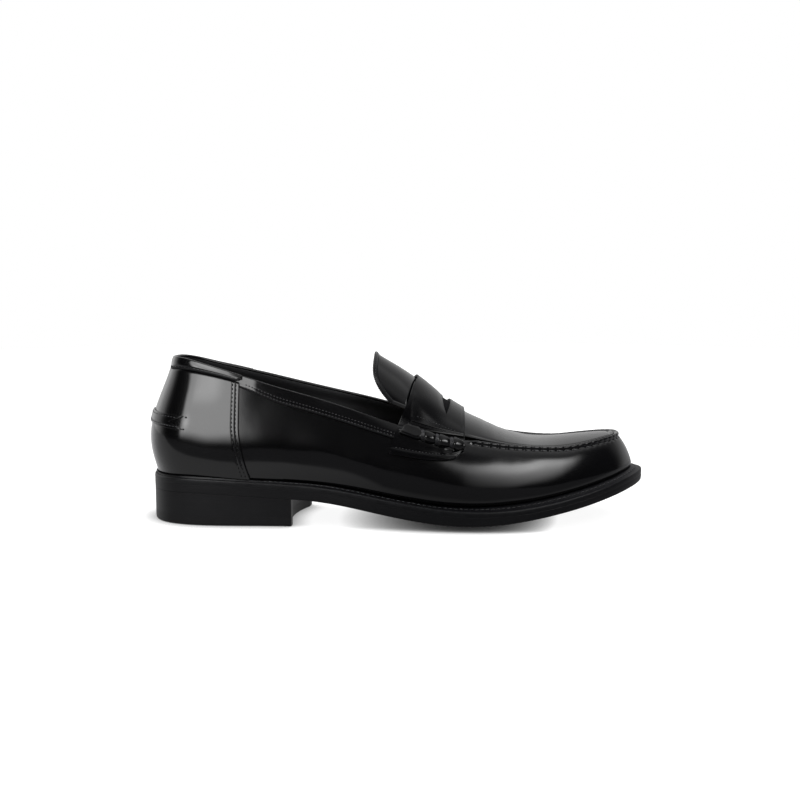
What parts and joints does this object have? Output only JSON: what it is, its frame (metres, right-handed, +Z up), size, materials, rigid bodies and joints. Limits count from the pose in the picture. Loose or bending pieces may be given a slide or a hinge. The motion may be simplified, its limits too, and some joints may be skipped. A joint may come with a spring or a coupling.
{
  "type": "penny loafer",
  "caption": "Black polished leather slip-on shoe: moccasin apron, slotted saddle strap with rolled lashed ends, heel tab, welted sole and stacked low heel; ball and tongue flex.",
  "frame": {"origin": "bottom centre of the bounding box: on the ground, midway along and across the shoe", "axes": "+X from heel to toe, -Y the outer (lateral) side, +Y the inner (medial) side, +Z up"},
  "size_m": [0.3019, 0.1022, 0.1008],
  "materials": {
    "upper_leather": "black, brush-polished to a high shine",
    "lining_leather": "black, unpolished",
    "sole_leather": "black, burnished edge",
    "welt_leather": "black, waxed",
    "heel_rubber": "black, matt",
    "insole_leather": "natural tan",
    "cork_filler": "ground cork",
    "shank_steel": "spring steel strip",
    "stiffener_board": "leather board",
    "lashing_thread": "waxed black cord"
  },
  "bodies": {
    "shoe": {"side_wall": "upper_leather", "counter_lateral": "upper_leather", "counter_medial": "upper_leather", "collar_rear": "upper_leather", "collar_lateral": "upper_leather", "collar_medial": "upper_leather", "apron_plug": "upper_leather", "saddle_strap": "upper_leather", "beef_roll_lateral": "upper_leather", "beef_roll_medial": "upper_leather", "heel_tab": "upper_leather", "quarter_lining": "lining_leather", "forepart_lining": "lining_leather", "vamp_lining": "lining_leather", "heel_sock": "lining_leather", "outsole_rear": "sole_leather", "heel_lift_1": "sole_leather", "heel_lift_2": "sole_leather", "heel_lift_3": "sole_leather", "welt_rear": "welt_leather", "heel_top_piece": "heel_rubber", "insole_rear": "insole_leather", "cork_filler_waist": "cork_filler", "shank": "shank_steel", "heel_counter": "stiffener_board", "lashing_lateral_1": "lashing_thread", "lashing_lateral_2": "lashing_thread", "lashing_lateral_3": "lashing_thread", "lashing_medial_1": "lashing_thread", "lashing_medial_2": "lashing_thread", "lashing_medial_3": "lashing_thread"},
    "forepart": {"outsole_forepart": "sole_leather", "welt_forepart": "welt_leather", "insole_forepart": "insole_leather", "cork_filler_forepart": "cork_filler", "toe_puff": "stiffener_board"},
    "tongue": {"tongue": "upper_leather", "tongue_lining": "lining_leather"}
  },
  "joints": [
    {"name": "toe_flex", "type": "hinge", "parent": "shoe", "child": "forepart", "pos_m": [0.06588, 0, 0.0194], "axis": [0, -1, 0], "range_deg": [0, 25], "deforming": ["side_wall", "apron_plug", "vamp_lining", "forepart_lining"]},
    {"name": "tongue_flex", "type": "hinge", "parent": "shoe", "child": "tongue", "pos_m": [0.01288, 0, 0.0844], "axis": [0, 1, 0], "range_deg": [0, 15]}
  ]
}
